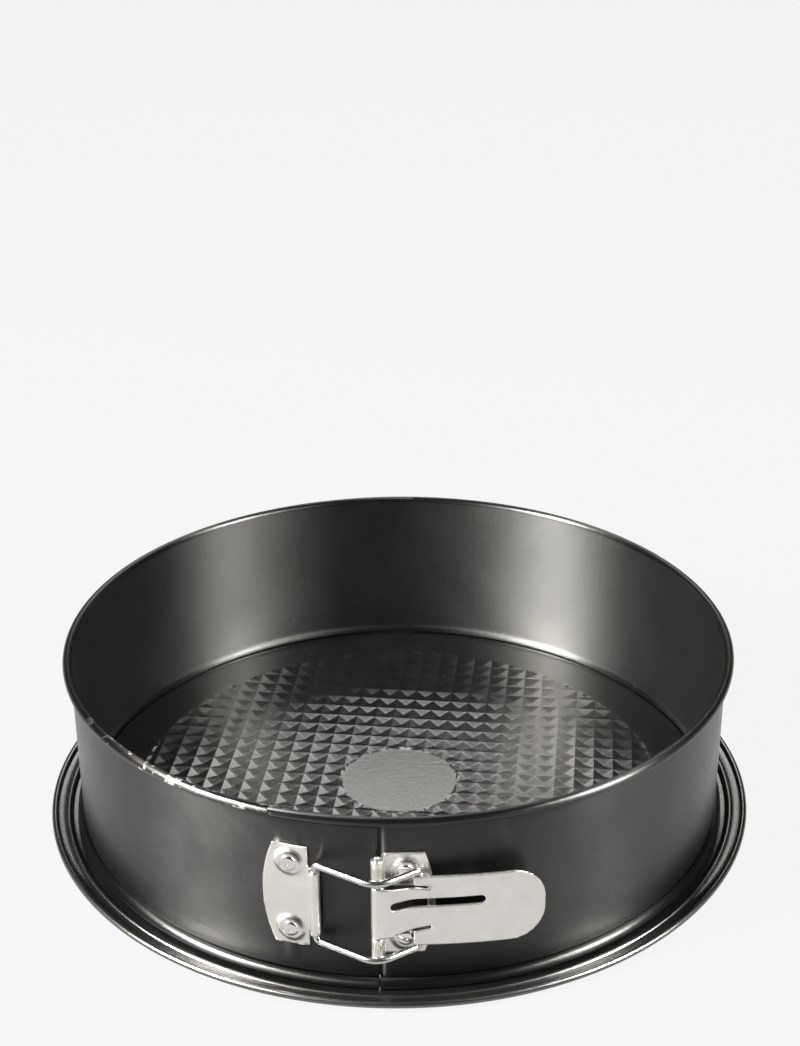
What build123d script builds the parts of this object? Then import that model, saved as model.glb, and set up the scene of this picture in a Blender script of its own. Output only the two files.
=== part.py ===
from build123d import *
import math
import os

# Springform baking pan, 26 cm class.
# Frame: origin on the pan's axis at the underside of the base, +Z up,
# latch at the front (-Y). Angles A are measured about +Z from -Y towards +X.
# All lengths in millimetres.

# ---- driving dimensions -------------------------------------------------
SHEET = 0.6            # steel sheet of base and band
R_IN = 130.0           # inner face of the band wall
R_OUT = R_IN + SHEET
H_RIM = 71.4           # height of the rim curl's centre
RIM_R = 1.75           # outer radius of the rim curl
RIM_C = R_IN + RIM_R   # radial place of the rim curl's centre
BEAD_R = 2.0           # outer radius of the bottom bead
BEAD_C = 130.9         # radial place of the bottom bead's centre
BEAD_Z = 3.0

PLATEAU_R = 128.5      # raised floor of the base, inside the bead
PLATEAU_Z = 2.4
GUTTER_R = 134.9       # drip gutter's outer edge
STEP_R = 136.4
FLANGE_R = 141.3
ROLL_R = 1.3           # rolled outer edge of the base
BASE_R = 143.5

LAP = 16.4             # angle over which the band's two ends overlap
LAP_GAP = 0.3          # play between the two layers
SEAM = 0.05            # half play at the seams, degrees
JOG = 1.4              # end of the offset bend of the inner layer, degrees
BACK = 3.0             # half angle of the band's flexing strip at the back

PLATE = 1.0            # latch bracket sheet
RB = R_OUT + PLATE     # outer face of the bracket plates
RIVET_Z = (24.0, 51.6)
CATCH_A = -13.65       # rivet line of the catch bracket
HINGE_A = 4.1          # rivet line of the hinge bracket

PIVOT = (0.0, -136.4)  # lever pivot
KNUCKLE_R = 2.2
KNUCKLE_BORE = 1.2
PIN_R = 1.15
K_ANGLE = -9.5         # bail pivot in the catch barrel
K_R = 133.2
BARREL_R = 2.0
BARREL_BORE = 1.3

WIRE = 1.25            # bail wire radius
ARM_Z = (21.3, 53.2)   # the bail's lower and upper arm
BOW = (0.0, -143.2)    # corner of the bail over the lever pivot
EAR = (14.2, -133.3)   # bail end, beside the lever's ears

LEVER_Z0, LEVER_Z1 = 23.0, 51.6
LEVER_T = 1.0
TIP = (57.4, -127.0)

os.makedirs("parts", exist_ok=True)


def at(angle, r):
    a = math.radians(angle)
    return (r * math.sin(a), -r * math.cos(a))


def section_plane(angle):
    """Vertical plane through the axis: local x is the radius, local y is +Z."""
    a = math.radians(angle)
    return Plane(origin=(0, 0, 0), x_dir=(math.sin(a), -math.cos(a), 0),
                 z_dir=(-math.cos(a), -math.sin(a), 0))


def radial_plane(angle, r, z):
    """Plane that faces outward at a place on the wall."""
    a = math.radians(angle)
    return Plane(origin=(r * math.sin(a), -r * math.cos(a), z),
                 x_dir=(math.cos(a), math.sin(a), 0),
                 z_dir=(math.sin(a), -math.cos(a), 0))


K = at(K_ANGLE, K_R)

# ---- base plate ---------------------------------------------------------
with BuildPart() as base_plate:
    with BuildSketch(Plane.XZ) as base_section:
        with BuildLine():
            Polyline(
                (0, PLATEAU_Z), (PLATEAU_R, PLATEAU_Z), (PLATEAU_R, SHEET),
                (GUTTER_R, SHEET), (STEP_R, 2.6), (STEP_R + 0.9, 2.6),
                (STEP_R + 1.2, 2.1), (BASE_R - ROLL_R, 2.1),
                (BASE_R - ROLL_R, 1.5), (STEP_R + 0.95, 1.5), (STEP_R + 0.7, 2.0),
                (STEP_R + 0.35, 2.0), (GUTTER_R + 0.35, 0), (PLATEAU_R - SHEET, 0),
                (PLATEAU_R - SHEET, PLATEAU_Z - SHEET), (0, PLATEAU_Z - SHEET),
                close=True)
        make_face()
        with Locations((BASE_R - ROLL_R, 2.9)):
            Circle(ROLL_R)
    revolve(axis=Axis.Z)
base_plate.part.label = "base_plate"
export_step(base_plate.part, "parts/base_plate.step")

# ---- band: one strip, bent round, its ends lapped at the latch -----------
WALL_TOP = H_RIM       # the wall runs up into the rim curl
TONGUE_TOP = H_RIM - RIM_R - 0.75
INNER_LO = BEAD_Z + BEAD_R + 0.4

# back strip, where the band flexes
with BuildPart() as band_back:
    with BuildSketch(section_plane(180 - BACK)) as back_section:
        with Locations(((R_IN + R_OUT) / 2, (BEAD_Z + 1.6 + WALL_TOP) / 2)):
            Rectangle(SHEET, WALL_TOP - BEAD_Z - 1.6)
        with Locations((BEAD_C, BEAD_Z)):
            Circle(BEAD_R)
        with Locations((RIM_C, H_RIM)):
            Circle(RIM_R)
        with Locations((BEAD_C, BEAD_Z)):
            Circle(BEAD_R - SHEET, mode=Mode.SUBTRACT)
        with Locations((RIM_C, H_RIM)):
            Circle(RIM_R - SHEET, mode=Mode.SUBTRACT)
        with Locations((RIM_C + 1.0, H_RIM - 1.2), (BEAD_C + 1.1, BEAD_Z + 1.3)):
            Rectangle(1.0, 0.5, mode=Mode.SUBTRACT)
    revolve(axis=Axis.Z, revolution_arc=2 * BACK)
band_back.part.label = "band_back"
export_step(band_back.part, "parts/band_back.step")

# left part: outer layer at the lap, plain tongue below the rim
with BuildPart() as band_left:
    with BuildSketch(section_plane(-180 + BACK + 0.15)) as left_wall:
        with Locations(((R_IN + R_OUT) / 2, (BEAD_Z + 1.6 + WALL_TOP) / 2)):
            Rectangle(SHEET, WALL_TOP - BEAD_Z - 1.6)
        with Locations((RIM_C, H_RIM)):
            Circle(RIM_R)
        with Locations((RIM_C, H_RIM)):
            Circle(RIM_R - SHEET, mode=Mode.SUBTRACT)
        with Locations((RIM_C + 1.0, H_RIM - 1.2)):
            Rectangle(1.0, 0.5, mode=Mode.SUBTRACT)
    revolve(axis=Axis.Z, revolution_arc=180 - BACK - 0.15 - LAP - SEAM)
    with BuildSketch(section_plane(-LAP - SEAM)) as left_tongue:
        with Locations(((R_IN + R_OUT) / 2, (BEAD_Z + 1.6 + TONGUE_TOP) / 2)):
            Rectangle(SHEET, TONGUE_TOP - BEAD_Z - 1.6)
    revolve(axis=Axis.Z, revolution_arc=LAP)
    with BuildSketch(section_plane(-180 + BACK + 0.15)) as left_bead:
        with Locations((BEAD_C, BEAD_Z)):
            Circle(BEAD_R)
            Circle(BEAD_R - SHEET, mode=Mode.SUBTRACT)
        with Locations((BEAD_C + 1.1, BEAD_Z + 1.3)):
            Rectangle(1.0, 0.5, mode=Mode.SUBTRACT)
    revolve(axis=Axis.Z, revolution_arc=180 - BACK - 0.15 - SEAM)
    # shallow outward dimples that take the rivets' inner heads
    for z in RIVET_Z:
        with BuildSketch(radial_plane(CATCH_A, R_OUT - 0.4, z)):
            Circle(4.5)
        extrude(amount=1.0)
        with BuildSketch(radial_plane(CATCH_A, R_IN - 2, z)):
            Circle(3.9)
        extrude(amount=2.6, mode=Mode.SUBTRACT)
        with BuildSketch(radial_plane(CATCH_A, R_IN - 2, z)):
            Circle(2.0)
        extrude(amount=6, mode=Mode.SUBTRACT)
band_left.part.label = "band_left"
export_step(band_left.part, "parts/band_left.step")

# right part: offset inward behind the tongue, carries the rim over the lap
with BuildPart() as band_right:
    with BuildSketch(section_plane(JOG)) as right_wall:
        with Locations(((R_IN + R_OUT) / 2, (BEAD_Z + 1.6 + WALL_TOP) / 2)):
            Rectangle(SHEET, WALL_TOP - BEAD_Z - 1.6)
    revolve(axis=Axis.Z, revolution_arc=180 - BACK - 0.15 - JOG)
    with BuildSketch(section_plane(2 * SEAM)) as right_bead:
        with Locations((BEAD_C, BEAD_Z)):
            Circle(BEAD_R)
            Circle(BEAD_R - SHEET, mode=Mode.SUBTRACT)
        with Locations((BEAD_C + 1.1, BEAD_Z + 1.3)):
            Rectangle(1.0, 0.5, mode=Mode.SUBTRACT)
    revolve(axis=Axis.Z, revolution_arc=180 - BACK - 0.15 - 2 * SEAM)
    # inner layer and the link from it to the rim
    RI = R_IN - LAP_GAP - SHEET
    with BuildSketch(section_plane(-LAP)) as inner_layer:
        with Locations((RI + SHEET / 2, (INNER_LO + H_RIM - 0.9) / 2)):
            Rectangle(SHEET, H_RIM - 0.9 - INNER_LO)
        with Locations((RI + 0.85, H_RIM - 1.2)):
            Rectangle(1.7, SHEET)
    revolve(axis=Axis.Z, revolution_arc=LAP + 0.12)
    # offset bend
    with BuildSketch(Plane.XY.offset(INNER_LO)) as joggle:
        with BuildLine():
            Polyline(at(0.1, RI), at(0.1, RI + SHEET), at(JOG + 0.03, R_OUT),
                     at(JOG + 0.03, R_IN), close=True)
        make_face()
    extrude(amount=H_RIM - 0.9 - INNER_LO)
    with BuildSketch(section_plane(-LAP)) as right_rim:
        with Locations((RIM_C, H_RIM)):
            Circle(RIM_R)
            Circle(RIM_R - SHEET, mode=Mode.SUBTRACT)
        with Locations((RIM_C + 1.0, H_RIM - 1.2)):
            Rectangle(1.0, 0.5, mode=Mode.SUBTRACT)
    revolve(axis=Axis.Z, revolution_arc=180 - BACK - 0.15 + LAP)
    for z in RIVET_Z:
        with BuildSketch(radial_plane(HINGE_A, R_OUT - 0.4, z)):
            Circle(4.5)
        extrude(amount=1.0)
        with BuildSketch(radial_plane(HINGE_A, R_IN - 2, z)):
            Circle(3.9)
        extrude(amount=2.6, mode=Mode.SUBTRACT)
        with BuildSketch(radial_plane(HINGE_A, R_IN - 2, z)):
            Circle(2.0)
        extrude(amount=6, mode=Mode.SUBTRACT)
band_right.part.label = "band_right"
export_step(band_right.part, "parts/band_right.step")

# ---- catch bracket: plate with a rolled barrel ---------------------------
with BuildPart() as catch_bracket:
    with BuildSketch(Plane.XZ) as catch_outline:
        with BuildLine():
            Polyline((-36.6, 58.6), (-24.5, 58.6), (-24.5, 16.8), (-36.6, 16.8))
            ThreePointArc((-36.6, 16.8), (-40.6, 37.7), (-36.6, 58.6))
        make_face()
    extrude(amount=200)
    with BuildSketch(section_plane(-20)) as catch_sheet:
        with Locations((R_OUT + PLATE / 2, 37.7)):
            Rectangle(PLATE, 44)
    revolve(axis=Axis.Z, revolution_arc=12, mode=Mode.INTERSECT)
    with BuildSketch(section_plane(-10.9)) as catch_tongue:
        with Locations((R_OUT + PLATE / 2, 37.05)):
            Rectangle(PLATE, 26.3)
    revolve(axis=Axis.Z, revolution_arc=1.4)
    with BuildSketch(Plane.XY.offset(23.9)) as barrel:
        with Locations(K):
            Circle(BARREL_R)
    extrude(amount=26.3)
    with BuildSketch(Plane.XY.offset(20)) as barrel_bore:
        with Locations(K):
            Circle(BARREL_BORE)
    extrude(amount=32, mode=Mode.SUBTRACT)
    for z in RIVET_Z:
        with BuildSketch(radial_plane(CATCH_A, RB - 0.3, z)):
            Circle(5.5)
        extrude(amount=0.9, taper=25)
        with BuildSketch(radial_plane(CATCH_A, R_OUT - 1, z)):
            Circle(4.5)
        extrude(amount=1.6, mode=Mode.SUBTRACT)
        with BuildSketch(radial_plane(CATCH_A, R_OUT, z)):
            Circle(2.0)
        extrude(amount=4, mode=Mode.SUBTRACT)
catch_bracket.part.label = "catch_bracket"
export_step(catch_bracket.part, "parts/catch_bracket.step")

# ---- hinge bracket: plate with two rolled knuckles -----------------------
with BuildPart() as hinge_bracket:
    with BuildSketch(Plane.XZ) as hinge_outline:
        with BuildLine():
            Polyline((15.9, 58.6), (1.7, 58.6), (1.7, 16.8), (15.9, 16.8))
            ThreePointArc((15.9, 16.8), (19.7, 37.7), (15.9, 58.6))
        make_face()
        # the near edge is cut back between the knuckles, behind the lever's slot
        with Locations((9.15, 38.35)):
            Rectangle(15.5, 13.7, mode=Mode.SUBTRACT)
    extrude(amount=200)
    with BuildSketch(section_plane(-1)) as hinge_sheet:
        with Locations((R_OUT + PLATE / 2, 37.7)):
            Rectangle(PLATE, 44)
    revolve(axis=Axis.Z, revolution_arc=12, mode=Mode.INTERSECT)
    # standing strips and rolled knuckles
    for z0, z1 in ((17.5, 27.0), (48.7, 59.5)):
        with BuildSketch(Plane.XY.offset(z0)):
            with Locations(PIVOT):
                Circle(KNUCKLE_R)
            with BuildLine():
                Polyline((1.2, PIVOT[1]), (KNUCKLE_R, PIVOT[1]), (KNUCKLE_R, -130.9),
                         (1.2, -130.9), close=True)
            make_face()
            with Locations(PIVOT):
                Circle(KNUCKLE_BORE, mode=Mode.SUBTRACT)
        extrude(amount=z1 - z0)
    for z in RIVET_Z:
        with BuildSketch(radial_plane(HINGE_A, RB - 0.3, z)):
            Circle(5.5)
        extrude(amount=0.9, taper=25)
        with BuildSketch(radial_plane(HINGE_A, R_OUT - 1, z)):
            Circle(4.5)
        extrude(amount=1.6, mode=Mode.SUBTRACT)
        with BuildSketch(radial_plane(HINGE_A, R_OUT, z)):
            Circle(2.0)
        extrude(amount=4, mode=Mode.SUBTRACT)
hinge_bracket.part.label = "hinge_bracket"
export_step(hinge_bracket.part, "parts/hinge_bracket.step")

# ---- four rivets ----------------------------------------------------------
for name, ang, z in (("catch_rivet_lower", CATCH_A, RIVET_Z[0]),
                     ("catch_rivet_upper", CATCH_A, RIVET_Z[1]),
                     ("hinge_rivet_lower", HINGE_A, RIVET_Z[0]),
                     ("hinge_rivet_upper", HINGE_A, RIVET_Z[1])):
    with BuildPart() as rivet:
        # flush inner head, shank, domed outer head
        with BuildSketch(radial_plane(ang, R_IN + 0.1, z)):
            Circle(3.2)
        extrude(amount=0.5)
        with BuildSketch(radial_plane(ang, R_IN + 0.3, z)):
            Circle(2.0)
        extrude(amount=2.4)
        with BuildSketch(radial_plane(ang, R_OUT + 1.6, z)):
            Circle(3.1)
        extrude(amount=1.3)
        fillet(rivet.faces().sort_by(Axis(rivet.part.center(), radial_plane(ang, 1, z).z_dir))[-1].edges(), 1.2)
    rivet.part.label = name
    export_step(rivet.part, "parts/" + name + ".step")

# ---- hinge pin -------------------------------------------------------------
with BuildPart() as hinge_pin:
    with BuildSketch(Plane.XY.offset(17.2)) as pin_section:
        with Locations(PIVOT):
            Circle(PIN_R)
    extrude(amount=42.6)
    with BuildSketch(Plane.XY.offset(58.3)) as pin_mouth:
        with Locations(PIVOT):
            Circle(0.7)
    extrude(amount=2, mode=Mode.SUBTRACT)
    with BuildSketch(Plane.XY.offset(17.0)) as pin_foot:
        with Locations(PIVOT):
            Circle(0.7)
    extrude(amount=1.7, mode=Mode.SUBTRACT)
hinge_pin.part.label = "hinge_pin"
export_step(hinge_pin.part, "parts/hinge_pin.step")

# ---- lever ------------------------------------------------------------------
# outer face in plan, from the knuckle to the tip; the inner face is one sheet behind
OUTER = [(0.0, PIVOT[1] - KNUCKLE_R), (4.0, -138.2), (8.0, -136.7), (12.4, -135.1),
         (20.0, -134.3), (28.0, -133.4), (37.0, -132.0), (47.0, -129.9), TIP]
inner = []
for i, (x, y) in enumerate(OUTER):
    x0, y0 = OUTER[max(i - 1, 0)]
    x1, y1 = OUTER[min(i + 1, len(OUTER) - 1)]
    if i == 0:
        x1, y1 = x0 + 1.0, y0
    d = math.hypot(x1 - x0, y1 - y0)
    inner.append((x - (y1 - y0) / d * LEVER_T, y + (x1 - x0) / d * LEVER_T))

NECK0 = (27.35, 48.35)   # neck at the knuckle
with BuildPart() as lever:
    with BuildSketch(Plane.XY.offset(LEVER_Z0)) as lever_plan:
        with BuildLine():
            Spline(*OUTER, tangents=((1, 0), (4.6, 1.4)), tangent_scalars=(1, 1))
            Line(OUTER[-1], inner[-1])
            Spline(*inner[::-1], tangents=((-4.6, -1.4), (-1, 0)), tangent_scalars=(1, 1))
            Line(inner[0], OUTER[0])
        make_face()
    extrude(amount=LEVER_Z1 - LEVER_Z0)
    with BuildSketch(Plane.XZ) as lever_side:
        with BuildLine() as lever_outline:
            FilletPolyline(
                (-1.0, NECK0[0]), (18.4, 30.9), (18.4, 30.0), (12.3, 28.8),
                (12.3, LEVER_Z0), (58.0, LEVER_Z0), (58.0, LEVER_Z1), (12.3, LEVER_Z1),
                (12.3, 47.8), (18.4, 47.4), (18.4, 46.5), (-1.0, NECK0[1]),
                radius=(0.3, 0.3, 0.8, 0.6, 12, 12, 0.6, 0.8, 0.3, 0.3))
            Line((-1.0, NECK0[1]), (-1.0, NECK0[0]))
        make_face()
        with Locations((20.6, 40.9)):
            SlotOverall(32.4, 3.3, mode=Mode.SUBTRACT)
    extrude(amount=200, mode=Mode.INTERSECT)
    # rolled knuckle
    with BuildSketch(Plane.XY.offset(NECK0[0])) as lever_knuckle:
        with Locations(PIVOT):
            Circle(KNUCKLE_R)
    extrude(amount=NECK0[1] - NECK0[0])
    with BuildSketch(Plane.XY.offset(NECK0[0] - 1)) as lever_bore:
        with Locations(PIVOT):
            Circle(KNUCKLE_BORE)
    extrude(amount=24, mode=Mode.SUBTRACT)
    # ears folded back towards the wall
    for z in (LEVER_Z0, LEVER_Z1 - LEVER_T):
        with BuildSketch(Plane.XY.offset(z)):
            with BuildLine():
                Polyline((13.1, -134.6), (13.1, -132.4), (17.6, -132.4), (17.6, -134.1), close=True)
            make_face()
        extrude(amount=LEVER_T)
lever.part.label = "lever"
export_step(lever.part, "parts/lever.step")

# ---- wire bail -----------------------------------------------------------------
with BuildPart() as bail:
    with BuildLine() as bail_path:
        FilletPolyline(
            (EAR[0], EAR[1], ARM_Z[0]), (BOW[0], BOW[1], ARM_Z[0]), (K[0], K[1], ARM_Z[0]),
            (K[0], K[1], ARM_Z[1]), (BOW[0], BOW[1], ARM_Z[1]), (EAR[0], EAR[1], ARM_Z[1]),
            radius=(9.0, 2.4, 2.4, 9.0))
    with BuildSketch(Plane(origin=bail_path.line @ 0, z_dir=bail_path.line % 0)) as bail_wire:
        Circle(WIRE)
    sweep()
bail.part.label = "bail"
export_step(bail.part, "parts/bail.step")
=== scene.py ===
import math
import bpy
import numpy as np
from mathutils import Matrix, Vector
from mathutils.geometry import delaunay_2d_cdt


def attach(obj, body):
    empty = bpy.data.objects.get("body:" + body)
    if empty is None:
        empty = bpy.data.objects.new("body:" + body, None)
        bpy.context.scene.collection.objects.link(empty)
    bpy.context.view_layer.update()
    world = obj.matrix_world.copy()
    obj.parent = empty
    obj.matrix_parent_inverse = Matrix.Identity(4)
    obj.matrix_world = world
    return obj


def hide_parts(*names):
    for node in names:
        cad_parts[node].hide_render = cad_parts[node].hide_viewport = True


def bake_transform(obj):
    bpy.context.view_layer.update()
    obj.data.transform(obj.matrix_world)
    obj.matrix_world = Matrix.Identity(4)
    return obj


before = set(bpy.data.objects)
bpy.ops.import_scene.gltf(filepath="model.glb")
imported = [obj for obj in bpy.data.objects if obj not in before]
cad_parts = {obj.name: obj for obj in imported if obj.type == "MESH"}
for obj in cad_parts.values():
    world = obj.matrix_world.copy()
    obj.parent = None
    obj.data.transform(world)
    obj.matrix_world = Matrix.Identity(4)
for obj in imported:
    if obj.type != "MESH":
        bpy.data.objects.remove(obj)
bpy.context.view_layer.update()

MM = 0.001


# ---------------------------------------------------------------- camera
cam_data = bpy.data.cameras.new("camera")
cam_data.sensor_fit = "VERTICAL"
cam_data.sensor_height = 36.0
cam_data.lens = 36.0 * 1754.84 / 1046.0
cam_data.clip_start = 0.01
cam_data.clip_end = 50
camera = bpy.data.objects.new("camera", cam_data)
bpy.context.collection.objects.link(camera)
el, yaw, roll = math.radians(24.925), math.radians(-3.147), math.radians(-0.371)
fw = Vector((math.sin(yaw) * math.cos(el), math.cos(yaw) * math.cos(el), -math.sin(el)))
rt = Vector((math.cos(yaw), -math.sin(yaw), 0.0))
up = rt.cross(fw)
c, s = math.cos(roll), math.sin(roll)
rt, up = c * rt + s * up, -s * rt + c * up
camera.matrix_world = Matrix((
    (rt.x, up.x, -fw.x, 0.035248), (rt.y, up.y, -fw.y, -0.622227),
    (rt.z, up.z, -fw.z, 0.410437), (0, 0, 0, 1)))
bpy.context.scene.camera = camera


# ---------------------------------------------------------------- dimensions, mm
SHEET = 0.6
R_MID = 130.3
RIM_C, RIM_Z, RIM_R = 131.75, 71.4, 1.45
BEAD_C, BEAD_Z, BEAD_R = 130.9, 3.0, 1.7
LAP = 16.4
PX, PY = 0.0, -136.4
KX, KY = 133.2 * math.sin(math.radians(-9.5)), -133.2 * math.cos(math.radians(-9.5))
CATCH_A, HINGE_A = -13.65, 4.1
RIVET_Z = (24.0, 51.6)


def smooth(t):
    t = np.clip(t, 0, 1)
    return t * t * (3 - 2 * t)


def obj_from(name, verts, faces, sharp=35.0, mat=None):
    me = bpy.data.meshes.new(name)
    me.from_pydata((np.asarray(verts, float) * MM).tolist(), [], [list(map(int, f)) for f in faces])
    me.validate()
    me.update()
    for p in me.polygons:
        p.use_smooth = True
    me.set_sharp_from_angle(angle=math.radians(sharp))
    o = bpy.data.objects.new(name, me)
    bpy.context.collection.objects.link(o)
    if mat:
        me.materials.append(mat)
    return o


def fix_normals(o):
    import bmesh
    bm = bmesh.new()
    bm.from_mesh(o.data)
    bmesh.ops.remove_doubles(bm, verts=bm.verts, dist=1e-7)
    bmesh.ops.recalc_face_normals(bm, faces=bm.faces)
    bm.to_mesh(o.data)
    bm.free()
    o.data.update()


# ---------------------------------------------------------------- materials
def nodes_of(name):
    m = bpy.data.materials.new(name)
    m.use_nodes = True
    nt = m.node_tree
    bsdf = nt.nodes["Principled BSDF"]
    return m, nt, bsdf


def add(nt, kind, **props):
    n = nt.nodes.new(kind)
    for k, v in props.items():
        setattr(n, k, v)
    return n


def noise(nt, coord, scale, detail=4, rough=0.6):
    n = add(nt, "ShaderNodeTexNoise")
    n.inputs["Scale"].default_value = scale
    n.inputs["Detail"].default_value = detail
    n.inputs["Roughness"].default_value = rough
    nt.links.new(coord, n.inputs["Vector"])
    return n.outputs["Fac"]


def ramp(nt, fac, stops):
    r = add(nt, "ShaderNodeValToRGB")
    el_ = r.color_ramp.elements
    while len(el_) < len(stops):
        el_.new(0.5)
    for e, (p, col) in zip(el_, stops):
        e.position = p
        e.color = col if len(col) == 4 else tuple(col) + (1,)
    nt.links.new(fac, r.inputs["Fac"])
    return r.outputs["Color"]


def g(v):
    return (v, v, v, 1)


def mix(nt, fac, a, b, kind="RGBA", blend="MIX"):
    m = add(nt, "ShaderNodeMix", data_type=kind, blend_type=blend) if kind == "RGBA" else add(nt, "ShaderNodeMix", data_type=kind)
    ia, ib, out = (m.inputs[6], m.inputs[7], m.outputs[2]) if kind == "RGBA" else (m.inputs[2], m.inputs[3], m.outputs[0])
    if hasattr(fac, "is_linked") or hasattr(fac, "links"):
        nt.links.new(fac, m.inputs[0])
    else:
        m.inputs[0].default_value = fac
    for v, i in ((a, ia), (b, ib)):
        if hasattr(v, "links"):
            nt.links.new(v, i)
        else:
            i.default_value = v
    return out


def math_node(nt, op, a, b=None, clamp=False):
    m = add(nt, "ShaderNodeMath", operation=op)
    m.use_clamp = clamp
    for i, v in enumerate((a, b)):
        if v is None:
            continue
        if hasattr(v, "links"):
            nt.links.new(v, m.inputs[i])
        else:
            m.inputs[i].default_value = v
    return m.outputs[0]


def bump(nt, height, strength, dist, normal=None):
    b = add(nt, "ShaderNodeBump")
    b.inputs["Strength"].default_value = strength
    b.inputs["Distance"].default_value = dist
    nt.links.new(height, b.inputs["Height"])
    if normal is not None:
        nt.links.new(normal, b.inputs["Normal"])
    return b.outputs["Normal"]


def nonstick(name, base, rough, wear, ior, streak):
    m, nt, bs = nodes_of(name)
    # the band bends and lifts, so its marks are placed by where each point rests
    tc = add(nt, "ShaderNodeAttribute", attribute_name="rest").outputs["Vector"] if wear else add(nt, "ShaderNodeTexCoord").outputs["Object"]
    grain = noise(nt, tc, 2600, 3, 0.6)
    cloud = noise(nt, tc, 34, 5, 0.62)
    speck = noise(nt, tc, 330, 2, 0.5)
    col = ramp(nt, cloud, [(0.3, g(base * 0.86)), (0.7, g(base * 1.16))])
    warm = ramp(nt, grain, [(0.3, (0.93, 0.92, 0.90)), (0.7, (1.06, 1.05, 1.02))])
    col = mix(nt, 1.0, col, warm, blend="MULTIPLY")
    # fine dust and pin-point marks
    dust = ramp(nt, speck, [(0.76, g(0)), (0.82, g(1))])
    dustf = math_node(nt, "MULTIPLY", dust, 0.35)
    col = mix(nt, dustf, col, g(0.05))
    if wear:
        # worn chips along the rim, left of the seam
        sep = add(nt, "ShaderNodeSeparateXYZ")
        nt.links.new(tc, sep.inputs[0])
        x, y, z = sep.outputs
        zmask = ramp(nt, math_node(nt, "MULTIPLY", z, 12.0), [(0.828, g(0)), (0.846, g(1))])
        xm = ramp(nt, math_node(nt, "ADD", math_node(nt, "MULTIPLY", x, 5.0), 0.62),
                  [(0.06, g(0)), (0.20, g(1)), (0.42, g(1)), (0.47, g(0))])
        ym = ramp(nt, math_node(nt, "MULTIPLY", y, -10.0), [(0.2, g(0)), (0.6, g(1))])
        chips = noise(nt, tc, 210, 5, 0.65)
        chipm = ramp(nt, chips, [(0.56, g(0)), (0.60, g(1))])
        wm = mix(nt, 1.0, mix(nt, 1.0, zmask, xm, blend="MULTIPLY"), mix(nt, 1.0, ym, chipm, blend="MULTIPLY"), blend="MULTIPLY")
        col = mix(nt, wm, col, (0.13, 0.125, 0.115, 1))
    nt.links.new(col, bs.inputs["Base Color"])
    r = ramp(nt, cloud, [(0.25, g(rough - 0.04)), (0.75, g(rough + 0.05))])
    if wear:
        # the outside of the band is polished a little smoother than the inside
        side = add(nt, "ShaderNodeAttribute", attribute_name="inner").outputs["Fac"]
        r = mix(nt, side, math_node(nt, "SUBTRACT", r, 0.13), r, kind="FLOAT")
    nt.links.new(r, bs.inputs["Roughness"])
    bs.inputs["Metallic"].default_value = 0.0
    bs.inputs["IOR"].default_value = ior
    bs.inputs["Specular Tint"].default_value = (1.0, 0.975, 0.915, 1)
    if streak:
        bs.inputs["Anisotropic"].default_value = streak
        bs.inputs["Anisotropic Rotation"].default_value = 0.25
        tg = add(nt, "ShaderNodeTangent", direction_type="RADIAL", axis="Z")
        nt.links.new(tg.outputs[0], bs.inputs["Tangent"])
    n1 = bump(nt, grain, 0.16, 0.00012)
    n2 = bump(nt, noise(nt, tc, 420, 3, 0.5), 0.10, 0.0004, n1)
    nt.links.new(n2, bs.inputs["Normal"])
    return m


def plated(name, base, rough, streak, dark=0.0):
    m, nt, bs = nodes_of(name)
    tcn = add(nt, "ShaderNodeTexCoord").outputs["Object"]
    mp = add(nt, "ShaderNodeMapping")
    mp.inputs["Scale"].default_value = (1.0, 1.0, 9.0)
    nt.links.new(tcn, mp.inputs["Vector"])
    fine = noise(nt, mp.outputs[0], 900, 3, 0.6)
    cloud = noise(nt, tcn, 120, 4, 0.6)
    scr = noise(nt, mp.outputs[0], 210, 2, 0.5)
    lo = tuple(v * 0.93 for v in base) + (1,)
    hi = tuple(min(1.0, v * 1.04) for v in base) + (1,)
    col = ramp(nt, cloud, [(0.3, lo), (0.7, hi)])
    pits = ramp(nt, noise(nt, tcn, 620, 2, 0.5), [(0.72, g(0)), (0.78, g(1))])
    col = mix(nt, math_node(nt, "MULTIPLY", pits, 0.35), col, (0.38, 0.33, 0.28, 1))
    # painted shade: dark crescents on the rivet bosses' flanks, upper right and lower left, stand in for the dark
    # reflections that lie there
    rivet_boss_shade = add(nt, "ShaderNodeAttribute", attribute_name="rivet_boss_shade").outputs["Fac"]
    col = mix(nt, math_node(nt, "MULTIPLY", rivet_boss_shade, 0.93), col, (0.035, 0.032, 0.028, 1))
    nt.links.new(col, bs.inputs["Base Color"])
    r = ramp(nt, fine, [(0.3, g(max(0.03, rough - 0.05))), (0.7, g(rough + 0.06))])
    nt.links.new(r, bs.inputs["Roughness"])
    bs.inputs["Metallic"].default_value = 1.0
    n1 = bump(nt, fine, 0.10 * streak, 0.00006)
    n2 = bump(nt, scr, 0.08 * streak, 0.0002, n1)
    nt.links.new(n2, bs.inputs["Normal"])
    return m


M_BAND = nonstick("nonstick_band", 0.0010, 0.44, True, 1.48, 0.85)
M_BASE = nonstick("nonstick_base", 0.0015, 0.24, False, 2.1, 0.0)
M_PLATE = plated("plated_steel", (0.615, 0.595, 0.56), 0.33, 1.0)
M_RIVET = plated("rivet_steel", (0.66, 0.65, 0.63), 0.17, 0.6)
M_WIRE = plated("plated_wire", (0.47, 0.46, 0.44), 0.20, 0.6)


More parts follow.
